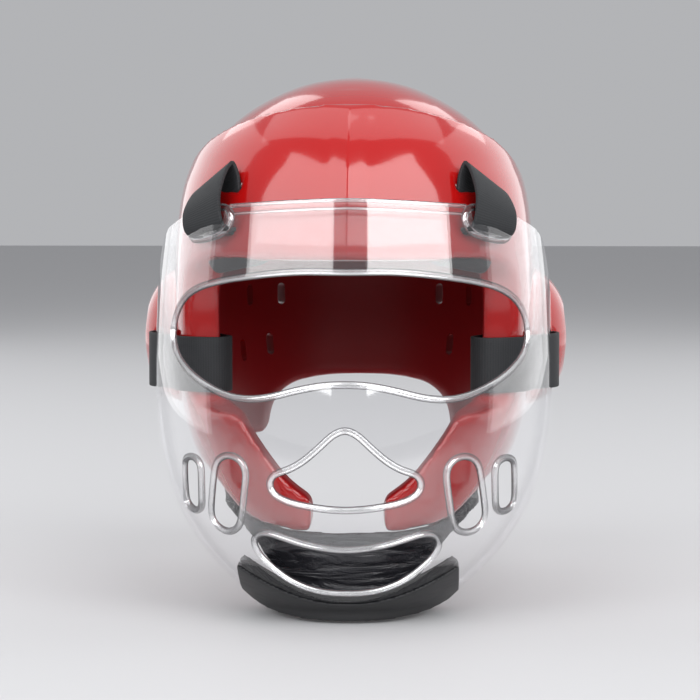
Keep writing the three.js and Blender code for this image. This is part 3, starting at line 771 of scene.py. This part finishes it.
def foam_cuts():
    far = 2.2 * head_half_length
    shift = temple_reach - 0.6 * head_half_length
    rear = [(-ahead * head_half_length - shift, -brow_drop - down * head_height) for ahead, down in brow_edge]
    brow = smooth_outline(rear, 60, closed=False)
    brow = np.vstack([[-far, -brow_drop], brow, [-far, rear[-1][1]]])
    cheek = [(x * head_half_width, -down * head_height) for x, down in cheek_edge]
    cheek = smooth_outline(cheek, 40, closed=False)
    low = lower_curve()
    low = np.vstack([low, [low[-1][0], -2 * head_height], [low[0][0], -2 * head_height]])
    width, rise = nape_arch_half_width, skirt_drop - nape_arch_drop
    nape = smooth_outline([
        (width * 1.02, -skirt_drop - rise), (width * 1.02, -skirt_drop + rise * 0.1),
        (width * 0.96, -nape_arch_drop - rise * 0.42), (width * 0.78, -nape_arch_drop - rise * 0.16),
        (width * 0.4, -nape_arch_drop - rise * 0.03), (0.01 * MM, -nape_arch_drop),
    ], 40, closed=False)
    gap_top = -brow_drop - 0.2 * head_height
    gap = np.array([(cheek_gap, gap_top), (cheek_gap, -skirt_drop), (cheek_gap * 1.3, -2 * head_height)])
    return [
        head_form(),
        prism(brow, -far, far, "x"),
        prism(mirrored(cheek), -2 * head_half_length, -0.55 * head_half_length, "y"),
        prism(low, -far, far, "x"),
        prism(mirrored(nape), 0.3 * head_half_length, 3 * head_half_length, "y"),
        prism(mirrored(gap), -2 * head_half_length, -0.4 * head_half_length, "y"),
    ]


def slit(centre, ahead, half_width, half_height, low, high):
    straight = max(half_height - half_width, 0)
    turn = np.linspace(0, math.pi, 13)
    upper = np.stack([half_width * np.cos(turn), half_width * np.sin(turn) + straight], axis=1)
    outline = np.vstack([upper, -upper])
    ahead = Vector(ahead).normalized()
    up = Vector((0, 0, 1))
    return turned_prism(outline, basis_of(ahead, up.cross(ahead), up, centre), low, high)


vents = [(131, 0.44), (148, 0.44), (126, 0.57), (142, 0.56)]


def vent_cuts():
    made = []
    for round_, down in vents:
        for side in (-1, 1):
            angle = np.array(math.radians(side * round_))
            u = np.array(row_at(head["drop"], down, head_last))
            ahead = outward(head_points, u, angle, head_last) * (1, 1, 0)
            centre = head_points(u, angle)
            made.append(slit(centre, ahead, vent_half_width, vent_half_height, *vent_reach))
    ear = (0, ear_forward, -ear_drop)
    made.append(slit(ear, (1, 0, 0), ear_hole_along, ear_hole_up, -ear_reach, ear_reach))
    return made


# %% [markdown]
# Each strap is a closed loop of webbing. A curve with a flat bevel would twist at its bends. So the path is
# drawn in a plane of its own, made into a ring of vertices and pushed across the strap's width. The same
# loop, a little fatter, carves its way through the foam. The points below are places along such a path.

# %% Strap paths
top_strap_side = 0.74
top_strap_top = 30 * MM
top_strap_lean = 0.16
top_strap_stand = 2.4 * MM
top_strap_turn = 0.25
top_strap_fall = 0.36
bar_height = 17 * MM
bar_end = shield_top_drop + bar_height


def top_strap_basis(side):
    x, z = side * top_strap_side * shield_half_width, -shield_top_drop - bar_height / 2
    u, angle = shield_at(np.array(x), np.array(z))
    point = Vector(shield_points(u, angle))
    ahead = Vector(outward(shield_points, u, angle, shield_last) * (1, 1, 0)).normalized()
    ahead.y -= top_strap_turn
    ahead.normalize()
    up = Vector((0, 0, 1))
    across = ahead.cross(up)
    up = (up - across * side * top_strap_lean).normalized()
    return basis_of(ahead, up, ahead.cross(up).normalized(), (point.x, point.y, 0))


def top_strap_path():
    wall = (crown_wall_front + crown_wall_side) / 2 + pad_rise
    outside = strap_thickness + top_strap_stand
    behind = shield_wall + 3 * strap_thickness
    return smooth_outline([
        (-wall * 0.51, -shield_top_drop * 0.94), (-wall * 0.5, -shield_top_drop * 0.8),
        (-wall * 0.36, -top_strap_top * 1.05), (-wall * 0.2, -top_strap_top * 1.12),
        (outside * 0.3, -shield_top_drop * 0.88), (outside, -shield_top_drop * 1.05),
        (outside, -bar_end * 0.94), (outside * 0.4, -bar_end), (-behind, -bar_end * 1.03),
        (-behind * 1.15, -brow_drop * 1.01), (-wall * 0.7, -brow_drop * 1.08),
        (-wall * 1.33, -brow_drop * 1.03), (-wall * 1.3, -brow_drop * 0.9),
        (-wall * 0.95, -brow_drop * 0.78), (-wall * 0.63, -shield_top_drop * 1.1),
    ], 120)


def top_strap_shape(side):
    def fall(points):
        rise = np.clip((points[:, 1] + bar_end) / (bar_end - top_strap_top), 0, 1)
        points[:, 1] -= top_strap_fall * rise * (top_strap_width / 2 - side * points[:, 2])
        return points

    return fall


def side_strap_basis(side):
    return basis_of((side, 0, 0), (0, 1, 0), (0, 0, side), (0, 0, -side_strap_drop))


def side_strap_path():
    out_x = head_half_width + crown_wall_side + pad_rise
    return smooth_outline([
        (head_half_width - 5 * MM, -6 * MM),
        (head_half_width - 8 * MM, -32 * MM),
        (head_half_width * 0.79, -temple_reach + 4 * MM),
        (head_half_width * 0.87, -temple_reach - 5 * MM),
        (out_x * 0.92, -temple_reach + 3 * MM),
        (out_x * 0.985, -42 * MM),
        (shield_half_width - 1 * MM, -34 * MM),
        (shield_half_width + 3.4 * MM, -26 * MM),
        (shield_half_width + 3.6 * MM, -13 * MM),
        (shield_half_width - 2 * MM, -5 * MM),
        (head_half_width + 8 * MM, 6 * MM),
        (head_half_width - 2 * MM, 6 * MM),
    ], 120)


def strap_ring(path, thickness, width, basis, name, columns=1, shape=None):
    bm = bmesh.new()
    bmesh.ops.create_circle(bm, segments=len(path), radius=1)
    step = bm.verts.layers.int.new("step")
    for k, (v, (a, b)) in enumerate(zip(bm.verts, path)):
        v.co = (a, b, -width / 2)
        v[step] = k
    edges = list(bm.edges)
    for _ in range(columns):
        pushed = bmesh.ops.extrude_edge_only(bm, edges=edges)
        bmesh.ops.translate(bm, verts=only(bmesh.types.BMVert, pushed), vec=(0, 0, width / columns))
        edges = only(bmesh.types.BMEdge, pushed)
    weave = bm.loops.layers.uv.new("weave")
    steps = np.concatenate([[0], np.cumsum(np.linalg.norm(np.diff(path, axis=0, append=path[:1]), axis=1))])
    for face in bm.faces:
        spots = [loop.vert[step] for loop in face.loops]
        for loop, spot in zip(face.loops, spots):
            along = steps[-1] if spot == 0 and max(spots) > 1 else steps[spot]
            loop[weave].uv = ((loop.vert.co.z + width / 2) / MM, along / MM)
    made = thickened(object_from(bm, name), thickness, even=True)
    if shape:
        spots = np.array([v.co for v in made.data.vertices])
        for v, spot in zip(made.data.vertices, shape(spots)):
            v.co = spot
    made.data.transform(basis)
    return made


def strap_room():
    room = 2 * strap_play
    thick = strap_thickness + room
    made = []
    for side in (-1, 1):
        basis = top_strap_basis(side)
        shape = top_strap_shape(side)
        made.append(strap_ring(top_strap_path(), thick, top_strap_width + room, basis, "room", shape=shape))
        basis = side_strap_basis(side)
        made.append(strap_ring(side_strap_path(), thick, side_strap_width + room, basis, "room"))
    return made


# %% [markdown]
# Dipped foam has no sharp edge, as its skin rounds every cut. A bevel would fail on edges this curved. So
# the cut form is remeshed, and the edges that still turn are smoothed, except beside the straps, where the
# channels have to stay. The brow's middle fold is pushed out, and the vents are cut last and stay crisp.

# %% The headgear's foam
top_zone = (32 * MM, -50 * MM, -72 * MM)
temple_zone = (55 * MM, 15 * MM)
soft_below = -45 * MM


def near_strap(spot):
    side = abs(spot.x)
    level = abs(spot.z + side_strap_drop) < side_strap_width * 0.6
    top = side > top_zone[0] and spot.y < top_zone[1] and spot.z > top_zone[2]
    return top or (side > temple_zone[0] and spot.y < temple_zone[1] and level)


def soften_edges(made, least, rings, rounds):
    bm = bmesh.new()
    bm.from_mesh(made.data)
    turning = [e for e in bm.edges if len(e.link_faces) == 2 and e.calc_face_angle() > least]
    chosen = {v for e in turning for v in e.verts if v.co.z < soft_below and not near_strap(v.co)}
    for _ in range(rings):
        chosen |= {e.other_vert(v) for v in chosen for e in v.link_edges}
    for _ in range(rounds):
        bmesh.ops.smooth_vert(
            bm, verts=list(chosen), factor=0.5, use_axis_x=True, use_axis_y=True, use_axis_z=True,
        )
    bm.to_mesh(made.data)
    bm.free()


def fold_brow(made):
    bm = bmesh.new()
    bm.from_mesh(made.data)
    bmesh.ops.bisect_plane(
        bm, geom=[*bm.verts, *bm.edges, *bm.faces], plane_co=(0, 0, 0), plane_no=(1, 0, 0), dist=0.3 * MM,
    )
    for v in bm.verts:
        ahead = -v.normal.y
        if v.co.y < -0.5 * head_half_length and ahead > 0:
            v.co.y -= brow_keel_rise * ahead * max(0, 1 - abs(v.co.x) / brow_keel_half_width)
    bm.to_mesh(made.data)
    bm.free()


def make_foam():
    foam = foam_solid()
    combine(foam, [*foam_cuts(), *strap_room()], "DIFFERENCE")
    remesh(foam, foam_voxel, 3)
    soften_edges(foam, math.radians(12), 4, 15)
    fold_brow(foam)
    combine(foam, vent_cuts(), "DIFFERENCE")
    foam.data.set_sharp_from_angle(angle=math.radians(50))
    foam.name = "foam_headgear"
    dress(foam, [red_vinyl])
    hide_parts("foam_shell")
    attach(foam, "root")
    print("foam", len(foam.data.polygons), "faces")


make_foam()

# %% [markdown]
# The shield's openings are moulded with a round bead along each edge, which stiffens the plastic. Their
# outlines are drawn flat, as seen from the front, and then laid on the curved sheet. The bead is a curve
# with a round bevel along the same outline. So the cut and the bead always agree.

# %% Shield openings
slot_search = 30 * MM
top_slot_cut = 15 * MM
side_slot_cut = 16 * MM
side_slot_place = -32 * MM
side_slot_lean = 0.25


def opening_outline(half, count):
    right = [shield_spot(x, z) for x, z in half]
    left = [(-x, z) for x, z in right[1:-1]][::-1]
    return smooth_outline([*right, *left], count)


def slot_outline(slot, side):
    a, b = (np.array(shield_spot(side * slot[end][0], slot[end][1])) for end in ("top", "bottom"))
    lean = math.atan2(a[1] - b[1], a[0] - b[0])
    size = slot["radius"] * shield_half_width
    outline = []
    for end, start in ((a, lean - math.pi / 2), (b, lean + math.pi / 2)):
        for t in np.linspace(start, start + math.pi, 14):
            outline.append(end + size * np.array((math.cos(t), math.sin(t))))
    return smooth_outline(outline, 60)


def rim_bead(outline):
    points = below_skin(*shield_at(outline[:, 0], outline[:, 1]), rim_inset)
    return tube(even_loop(points), rim_radius, True, "bead")


def even_loop(points):
    for _ in range(4):
        points = points / 2 + (np.roll(points, 1, axis=0) + np.roll(points, -1, axis=0)) / 4
    return evenly(np.vstack([points, points[:1]]), len(points))[:-1]


def top_line(below):
    half = [shield_spot(x, z) for x, z in top_edge]
    half = [(x, z - below) for x, z in half]
    left = [(-x, z) for x, z in half[:0:-1]]
    return smooth_outline([*left, *half], 160, closed=False)


def edge_bead(below, radius):
    line = top_line(below)
    line = line[np.abs(line[:, 0]) < 0.57 * shield_half_width]
    points = below_skin(*shield_at(line[:, 0], line[:, 1]), radius / 2)
    return tube(points, radius, False, "edge_bead")


def slot_bead(side):
    basis = top_strap_basis(side)
    ahead, up, across = (np.array(basis.col[k].to_3d()) for k in range(3))
    flat = top_slot_outline(200)
    base = np.array(basis.translation) + flat[:, :1] * across + flat[:, 1:] * up
    low, high = np.full(len(base), -slot_search), np.full(len(base), slot_search)
    for _ in range(30):
        middle = (low + high) / 2
        spot = base + middle[:, None] * ahead
        u, angle = shield_at(spot[:, 0], spot[:, 2])
        in_front = spot[:, 1] < shield_points(u, angle)[:, 1]
        high = np.where(in_front, middle, high)
        low = np.where(in_front, low, middle)
    points = below_skin(*shield_at(spot[:, 0], spot[:, 2]), rim_inset)
    return tube(even_loop(points), rim_radius, True, "slot_bead")


def tube(points, radius, closed, name):
    curve = bpy.data.curves.new(name, "CURVE")
    curve.dimensions = "3D"
    curve.bevel_depth = radius
    curve.bevel_resolution = 3
    curve.use_fill_caps = True
    spline = curve.splines.new("POLY")
    spline.points.add(len(points) - 1)
    for place, point in zip(spline.points, points):
        place.co = (*point, 1)
    spline.use_cyclic_u = closed
    holder = linked(name, curve)
    mesh = evaluated(holder)
    bpy.data.objects.remove(holder)
    bpy.data.curves.remove(curve)
    bm = bmesh.new()
    bm.from_mesh(mesh)
    bpy.data.meshes.remove(mesh)
    bmesh.ops.remove_doubles(bm, verts=bm.verts, dist=0.01 * MM)
    return object_from(bm, name)


def top_slot_outline(count):
    half = top_strap_width / 2 + top_slot_play
    low, high = bar_end + strap_thickness, shield_top_drop + bar_height * 0.4
    step, tight = top_slot_step, top_slot_round
    return smooth_outline([
        (-half, -low + step), (-half + step, -low), (half - step, -low), (half, -low + step),
        (half, -high - tight), (half - tight, -high), (-half + tight, -high), (-half, -high - tight),
    ], count)


def top_slot(side):
    strap = top_strap_basis(side)
    ahead, up, across = (strap.col[k].to_3d() for k in range(3))
    basis = basis_of(ahead, across, up, strap.translation)
    return turned_prism(top_slot_outline(60), basis, -top_slot_cut, top_slot_cut)


def side_slot(side):
    middle = (side * shield_half_width, side_slot_place, -side_strap_drop)
    half_height = side_strap_width / 2 + side_slot_play
    ahead = (side, -side_slot_lean, 0)
    return slit(middle, ahead, side_slot_half_width, half_height, -side_slot_cut, side_slot_cut)


# %% [markdown]
# The shield is one thin sheet of an even wall. A solid block would have to be hollowed out. A flat grid
# bent to the shield form and thickened is simpler, and its wall is the same everywhere. The openings are
# cut from the front, and the beads are joined on with a finish of their own.

# %% The shield
def make_shield():
    across, levels = ((150, 110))
    bm = bmesh.new()
    bmesh.ops.create_grid(bm, x_segments=across, y_segments=levels, size=1)
    flat = coordinates(bm)
    u = (1 - flat[:, 1]) / 2 * shield_last
    angle = flat[:, 0] * shield_span(u)
    place_all(bm, shield_points(u, angle))
    made = thickened(object_from(bm, "clear_shield"), shield_wall, -1)
    openings = ((eye_half, 200), (nose_half, 130), (mouth_half, 130))
    outlines = [opening_outline(half, count) for half, count in openings]
    outlines += [slot_outline(slot, side) for slot in cheek_slots for side in (-1, 1)]
    near = -head_half_length * 0.2
    combine(made, [prism(outline, -2 * shield_reach, near, "y") for outline in outlines], "DIFFERENCE")
    edge = top_line(0)
    above = [(edge[-1][0], shield_height), (edge[0][0], shield_height)]
    cuts = [prism(np.vstack([edge, above]), -2 * shield_reach, shield_reach, "y")]
    for side in (-1, 1):
        cuts += [top_slot(side), side_slot(side)]
    combine(made, cuts, "DIFFERENCE")
    beads = [rim_bead(outline) for outline in outlines] + [slot_bead(side) for side in (-1, 1)]
    beads += [edge_bead(line["below"] * MM, line["radius"] * MM) for line in top_lines]
    dress(made, [clear, clear_rim])
    for bead in beads:
        dress(bead, [clear, clear_rim], 1)
    combine(made, beads, "UNION")
    made.data.shade_smooth()
    made.data.set_sharp_from_angle(angle=math.radians(40))
    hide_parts("face_shield")
    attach(made, "root")
    print("shield", len(made.data.polygons), "faces")


make_shield()

# %% [markdown]
# The webbing holds the shield: two upright loops over its top bar, and a level one at each temple. The ring
# that carved the channel makes the strap too, at its true size, in eight columns so that it bends evenly.
# Woven edges are soft, and a small bevel is enough for that.

# %% The webbing straps
def make_strap(path, width, basis, part, shape=None):
    strap = strap_ring(path, strap_thickness, width, basis, part + "_webbing", columns=8, shape=shape)
    bevel = strap.modifiers.new("soft_edge", "BEVEL")
    bevel.width = 0.5 * MM
    bevel.segments = 2
    bevel.limit_method = "ANGLE"
    apply_modifiers(strap)
    strap.data.shade_smooth()
    dress(strap, [webbing])
    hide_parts(part)
    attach(strap, "root")
    print(part, len(strap.data.polygons), "faces")


for side, word in ((-1, "left"), (1, "right")):
    make_strap(
        top_strap_path(), top_strap_width, top_strap_basis(side), "top_strap_" + word, top_strap_shape(side),
    )
    make_strap(side_strap_path(), side_strap_width, side_strap_basis(side), "side_strap_" + word)

# %% [markdown]
# The chin strap hangs along the cheek guards' lower edge and widens into a pad in front of the chin. It is
# a bent grid with a padded wall, rounded by a remesh. Real creases come from years of bending; a cloth
# simulation of them would be slow to steer. Two layers of noise push the skin in and out instead, less
# than a millimetre deep, and the finish adds the fine ones.

# %% The chin strap
def crease(made, depth):
    spots = [v.co.copy() for v in made.data.vertices]
    normals = [v.normal.copy() for v in made.data.vertices]
    for v, spot, normal in zip(made.data.vertices, spots, normals):
        folds = noise.noise(Vector((spot.x * 30, spot.y * 48, spot.z * 150)))
        creases = noise.noise(Vector((spot.x * 70 + 3, spot.y * 110 + 1, spot.z * 260 + 7)))
        v.co = spot + normal * depth * (folds + 0.6 * creases - 0.3)


def make_chin_strap():
    steps, rows = ((180, 44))
    bm = bmesh.new()
    bmesh.ops.create_grid(bm, x_segments=steps, y_segments=rows, size=1)
    flat = coordinates(bm)
    t, down_share = flat[:, 0], (1 - flat[:, 1]) / 2
    share, low = smooth_curve(chin_table["share"]), smooth_curve(chin_table["low"])
    reach = low(row_at(share, np.abs(t), len(chin_table["share"]) - 1))
    bottom = skirt_drop + reach * (shield_foot - skirt_drop)
    edge = lower_curve()
    order = np.argsort(edge[:, 0])
    top = np.full_like(t, skirt_drop)
    for _ in range(12):
        points = chin_points(t, top)
        top = -np.interp(points[:, 1], edge[order, 0], edge[order, 1]) + clearance
    down = top + (bottom - top) * down_share
    place_all(bm, chin_points(t, down))
    made = thickened(object_from(bm, "chin_pad"), chin_strap_thickness)
    remesh(made, chin_voxel, 4)
    crease(made, chin_crease_depth)
    dress(made, [black_vinyl])
    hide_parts("chin_strap")
    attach(made, "root")
    print("chin pad", len(made.data.polygons), "faces")


def chin_points(t, down):
    taper = chin_taper * (down - skirt_drop) / head_height
    wide = chin_wide_share * head_half_width * (1 - taper)
    deep = chin_deep_share * head_half_length * (1 - taper * 0.3)
    return section_points(wide, deep, 0, -down, t * chin_round)


make_chin_strap()

# %% [markdown]
# The chin cup is a soft rubber channel pushed on the shield's lower edge, with a ledge under the chin. A
# curve bevelled with one profile would keep its shape all round, but this one has to rise and thin out
# towards its ends. So a profile is drawn at every angle. A grid carries them all, the seam is welded and
# both ends are filled. The remesh softens it, and faces that look up get the lining.

# %% The chin cup
def cup_profile(t, rows=8):
    last = np.array(float(shield_last))
    angle = t * shield_span(last)
    top_share = 1 - chin_cup_lip / shield_height - chin_cup_sweep * t * t
    high = row_at(shield["drop"], top_share, shield_last)
    below = chin_cup_depth - (chin_cup_depth - chin_cup_wall - clearance) * t * t
    down = np.linspace(high, shield_last, rows + 1)
    edge = shield_points(last, angle)
    normal = outward(shield_points, last, angle, shield_last)
    level = normal * (1, 1, 0)
    level = level / np.linalg.norm(level)

    def wall_at(offset):
        return below_skin(down, np.full_like(down, angle), -offset)

    def foot(reach, drop):
        return edge + level * reach - np.array((0, 0, drop))

    inside = -shield_wall - clearance
    lowered = [edge + normal * o - np.array((0, 0, clearance)) for o in (clearance, -shield_wall / 2, inside)]
    outer = [
        *wall_at(clearance + chin_cup_wall),
        foot(chin_cup_wall * 0.4, below),
        foot(-chin_cup_ledge * 0.5, below * 0.5 + chin_cup_wall * 0.5),
        foot(-chin_cup_ledge, chin_cup_wall),
        foot(-chin_cup_ledge, clearance),
        foot(-chin_cup_wall, clearance),
        *wall_at(inside - chin_cup_wall * 0.6)[::-1],
    ]
    inner = [*wall_at(clearance), *lowered, *wall_at(inside)[::-1]]
    return np.array([*outer, *inner[::-1]])


def make_chin_cup():
    steps = 120
    profiles = np.array([cup_profile(t) for t in np.linspace(-1, 1, steps + 1)])
    count = profiles.shape[1]
    bm = bmesh.new()
    bmesh.ops.create_grid(bm, x_segments=count, y_segments=steps, size=1)
    share = (coordinates(bm)[:, :2] + 1) / 2
    spot, station = np.rint(share * (count, steps)).astype(int).T
    place_all(bm, profiles[station, spot % count])
    bmesh.ops.remove_doubles(bm, verts=bm.verts, dist=0.001 * MM)
    bmesh.ops.holes_fill(bm, edges=[e for e in bm.edges if e.is_boundary], sides=0)
    made = object_from(bm, "chin_channel")
    half, turn = chin_cup_half_width, np.linspace(0, math.pi / 2, 9)
    top = max(v.co.z for v in made.data.vertices if abs(v.co.x) < half) - 1 * MM
    corner = np.stack([np.cos(turn), np.sin(turn)], axis=1) * chin_cup_corner
    corner += (half - chin_cup_corner, top - chin_cup_corner)
    outline = np.vstack([[(half, -1)], corner, corner[::-1] * (-1, 1), [(-half, -1)]])
    combine(made, [prism(outline, -1, 1, "y")], "INTERSECT")
    remesh(made, cup_voxel, 5)
    dress(made, [black_rubber, black_lining])
    for face in made.data.polygons:
        face.material_index = int(face.normal.z > 0.35)
    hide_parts("chin_cup")
    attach(made, "root")
    print("chin cup", len(made.data.polygons), "faces")


make_chin_cup()

# %% [markdown]
# A photographer lights glossy things with large white surfaces, because what shows on them is what they
# mirror. Two tall softboxes stand in front with a gap between them, which the shield mirrors as a dark
# band. Panels beside, behind and above draw its bright edges and lift the red. A pale floor and an even
# pale surrounding do the rest. Bare point lamps would leave small white spots.

# %% Studio
floor_height = cad_bounds[0][2] - 1 * MM


def make_floor():
    bm = bmesh.new()
    bmesh.ops.create_grid(bm, x_segments=1, y_segments=1, size=6)
    made = object_from(bm, "floor")
    made.location.z = floor_height
    material, tree, shader = new_material("floor")
    feed(shader, Base_Color=(0.52, 0.52, 0.53, 1), Roughness=0.6)
    dress(made, [material])


make_floor()
world = bpy.data.worlds.new("studio")
bpy.context.scene.world = world
world.use_nodes = True
feed(world.node_tree.nodes["Background"], Color=(0.45, 0.455, 0.47, 1), Strength=1)
bpy.context.scene.view_settings.view_transform = "Standard"


def soft_lamp(name, place, size, brightness, aim):
    data = bpy.data.lights.new(name, "AREA")
    data.shape = "RECTANGLE"
    data.size, data.size_y = size
    data.energy = brightness * math.pi * size[0] * size[1]
    lamp = linked(name, data)
    lamp.location = place
    lamp.rotation_euler = (Vector(aim) - Vector(place)).to_track_quat("-Z", "Y").to_euler()


for side in (-1, 1):
    place, aim = (side * 0.62, -0.95, 0.98), (-side * 0.1, 0, 0.98)
    soft_lamp("front_softbox", place, (1.16, 1.8), 3.2 + side * 0.5, aim)
    soft_lamp("side_panel", (side * 0.85, 0.95, 0.35), (1.9, 1.4), 0.95, (0, 0.95, 0.35))
    soft_lamp("back_panel", (side * 0.8, 1.5, 1.2), (0.9, 0.7), 1.3, (0, 0, 0))
    soft_lamp("top_panel", (side * 0.5, 0.2, 1.5), (0.75, 1.2), 0.9, (side * 0.2, 0, 0))
